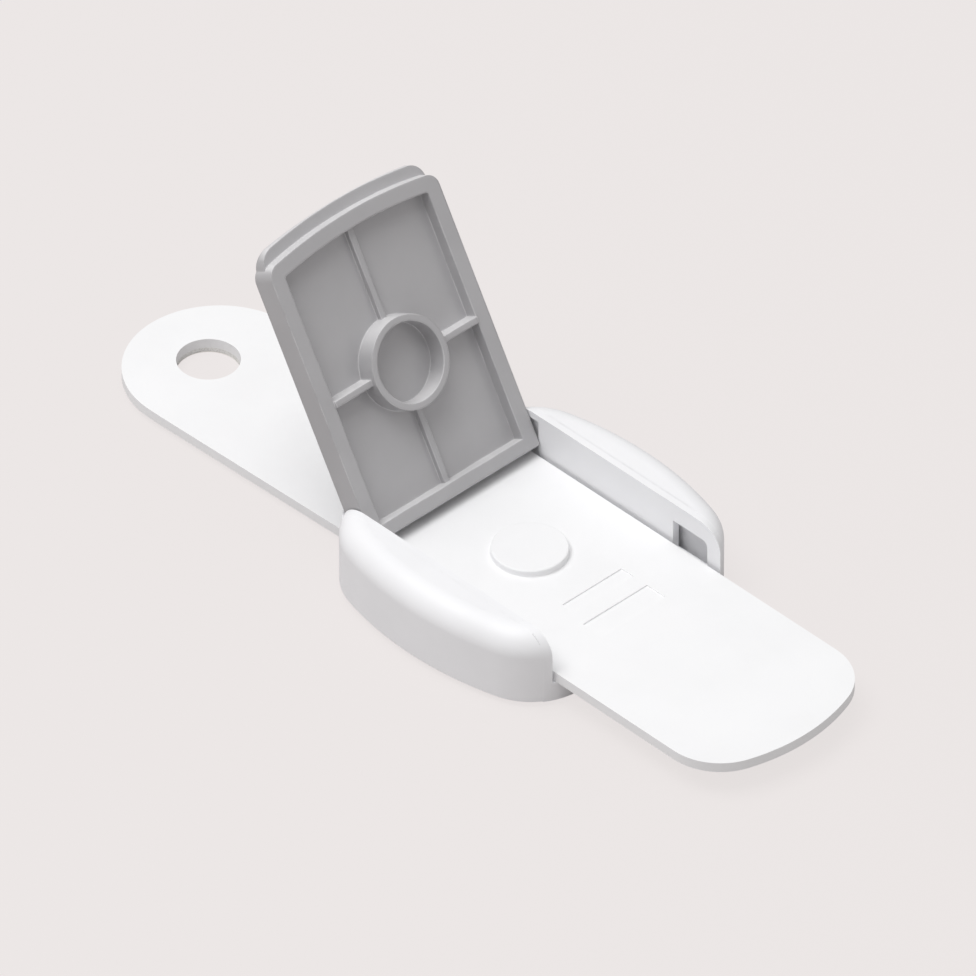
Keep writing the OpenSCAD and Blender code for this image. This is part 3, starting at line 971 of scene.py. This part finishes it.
@dataclass
class Strap:
    """The flat strap with its disc and bars, and the pad under its tongue."""

    edge: float = 0.4 * MM
    top: float = 6.25 * MM
    disc_edge: float = 0.5 * MM
    disc_reach: float = 7 * MM
    bar_edge: float = 0.22 * MM
    bar_low: float = 6.0 * MM
    bars_from_x: float = 10 * MM
    bars_half_w: float = 8 * MM

    def is_bar(self, edge: bmesh.types.BMEdge) -> bool:
        """Does an edge belong to one of the shallow bars?"""
        return all(
            abs(vert.co.y) < self.bars_half_w and vert.co.x > self.bars_from_x
            and vert.co.z > self.bar_low - TOLERANCE for vert in edge.verts)

    def is_bar_rim(self, edge: bmesh.types.BMEdge) -> bool:
        """Does an edge run along the top of one of the shallow bars?"""
        return self.is_bar(edge) and all(vert.co.z > self.top - TOLERANCE for vert in edge.verts)

    def is_disc(self, edge: bmesh.types.BMEdge) -> bool:
        """Does an edge belong to the disc?"""
        return all(
            vert.co.xy.length < self.disc_reach and vert.co.z > self.top - TOLERANCE
            for vert in edge.verts)

    def is_plain(self, edge: bmesh.types.BMEdge) -> bool:
        """Does an edge belong to the strap itself?"""
        return not self.is_bar(edge) and not self.is_disc(edge)

    def dress(self) -> None:
        """Round the strap's edges and dress its pad."""
        rounds = (
            EdgeRound(self.bar_edge, self.is_bar_rim),
            EdgeRound(self.disc_edge, self.is_disc),
            EdgeRound(self.edge, self.is_plain),
        )
        finish_piece(rounded_copy("strap", "strap_band", rounds), WHITE_STRAP, "strap")
        dress_node("tongue_foam", FOAM)
        dress_node("tongue_liner", LINER)


@dataclass
class Lid:
    """The grey lid with its rim, ring and ribs."""

    edge: float = 0.22 * MM

    def dress(self) -> None:
        """Round the lid's edges."""
        rounds = (EdgeRound(self.edge, every_edge),)
        finish_piece(rounded_copy("lid", "lid_shell", rounds), GREY_LID, "lid")


@dataclass
class Fasteners:
    """The hinge pins and the case screws."""

    nodes: tuple[str, ...] = ("near_hinge_pin", "far_hinge_pin", "case_screws")

    def dress(self) -> None:
        """Dress the steel pieces."""
        for node in self.nodes:
            dress_node(node, STEEL)


# Studio


@dataclass
class Studio:
    """Pale floor, soft light and the photograph's camera."""

    floor_colour: Colour = tint(236, 231, 230)
    floor_size: float = 6.0
    floor_drop: float = 0.05 * MM
    floor_patch: float = 0.4
    floor_patch_shade: float = 0.985
    floor_glow_share: float = 0.9
    floor_bounce_share: float = 0.75
    light_share: float = 1.06
    world_strength: float = 0.45
    lamp_place: tuple[float, float, float] = (-0.22, -0.32, 1.18)
    lamp_size: float = 0.9
    lamp_power: float = 11.2
    target: tuple[float, float, float] = (-16.32 * MM, 6.5 * MM, 6.25 * MM)
    azimuth: float = 46.0
    elevation: float = 39.1
    distance: float = 3.2
    lens: float = 737.7
    sensor: float = 36.0
    clip: tuple[float, float] = (0.1, 20.0)

    def build_floor(self) -> None:
        """Lay the floor as one large pale sheet."""
        bm = bmesh.new()
        bmesh.ops.create_grid(bm, x_segments=1, y_segments=1, size=self.floor_size / 2)
        floor = new_piece("floor", bm)
        floor.location.z = -self.floor_drop
        material = bpy.data.materials.new("floor_paper")
        material.use_nodes = True
        sheet = Sheet(material.node_tree)
        paper = tuple(part / self.light_share for part in self.floor_colour)
        darker = tuple(self.floor_patch_shade * part for part in paper)
        bounce = tuple(self.floor_bounce_share * part for part in paper)
        by_camera = sheet.add("LightPath").outputs["Is Camera Ray"]
        tone = sheet.noise(sheet.place(), self.floor_patch, detail=2.0)
        seen = sheet.mix(by_camera, bounce, sheet.mix(tone, darker, paper))
        matt = {"Base Color": seen, "Roughness": 1.0, "Specular IOR Level": 0.0}
        shader = sheet.add("BsdfPrincipled", matt)
        glow = sheet.add("Emission", {"Color": (*self.floor_colour, 1.0), "Strength": 1.0})
        share = sheet.times(by_camera, self.floor_glow_share)
        mixed = sheet.add("MixShader", {0: share, 1: shader.outputs[0], 2: glow.outputs[0]})
        sheet.add("OutputMaterial", {0: mixed.outputs[0]})
        floor.data.materials.append(material)

    def build_world(self) -> None:
        """Light the scene evenly from all sides and show the backdrop's colour."""
        world = bpy.data.worlds.new("studio_world")
        bpy.context.scene.world = world
        world.use_nodes = True
        sheet = Sheet(world.node_tree)
        white = (1.0, 1.0, 1.0, 1.0)
        light = sheet.add("Background", {"Color": white, "Strength": self.world_strength})
        shown = sheet.add("Background", {"Color": (*self.floor_colour, 1.0), "Strength": 1.0})
        path = sheet.add("LightPath").outputs
        seen = sheet.math("MAXIMUM", path["Is Camera Ray"], path["Is Transmission Ray"])
        seen = sheet.math("MAXIMUM", seen, path["Is Glossy Ray"])
        mixed = sheet.add("MixShader", {0: seen, 1: light.outputs[0], 2: shown.outputs[0]})
        sheet.add("OutputWorld", {0: mixed.outputs[0]})

    def build_lamp(self) -> None:
        """Hang one large square lamp that shines at the lock."""
        data = bpy.data.lights.new("overhead", "AREA")
        data.shape = "SQUARE"
        data.size = self.lamp_size
        data.energy = self.lamp_power
        lamp = bpy.data.objects.new("overhead", data)
        bpy.context.scene.collection.objects.link(lamp)
        lamp.location = self.lamp_place
        lamp.rotation_mode = "QUATERNION"
        back = Vector(self.lamp_place) - Vector(self.target)
        lamp.rotation_quaternion = back.to_track_quat("Z", "Y")

    def build_camera(self) -> None:
        """Set the camera at the photograph's viewing angle."""
        turn, rise = math.radians(self.azimuth), math.radians(self.elevation)
        level = math.cos(rise)
        back = Vector((math.sin(turn) * level, -math.cos(turn) * level, math.sin(rise)))
        data = bpy.data.cameras.new("camera")
        data.lens = self.lens
        data.sensor_width = self.sensor
        data.clip_start, data.clip_end = self.clip
        camera = bpy.data.objects.new("camera", data)
        bpy.context.scene.collection.objects.link(camera)
        camera.location = Vector(self.target) + back * self.distance
        camera.rotation_mode = "QUATERNION"
        camera.rotation_quaternion = back.to_track_quat("Z", "Y")
        bpy.context.scene.camera = camera

    def build(self) -> None:
        """Set up the whole studio."""
        self.build_floor()
        self.build_world()
        self.build_lamp()
        self.build_camera()
        bpy.context.scene.view_settings.view_transform = "Standard"


def main() -> None:
    """Build the lock's sub-assemblies and the studio in order."""
    logging.basicConfig(level=logging.INFO, format="%(name)s %(message)s")
    for part in (Mounting(), Tray(), Cheeks(), Fasteners(), Lid(), Strap()):
        part.dress()
    Studio().build()


if __name__ == "__main__":
    main()
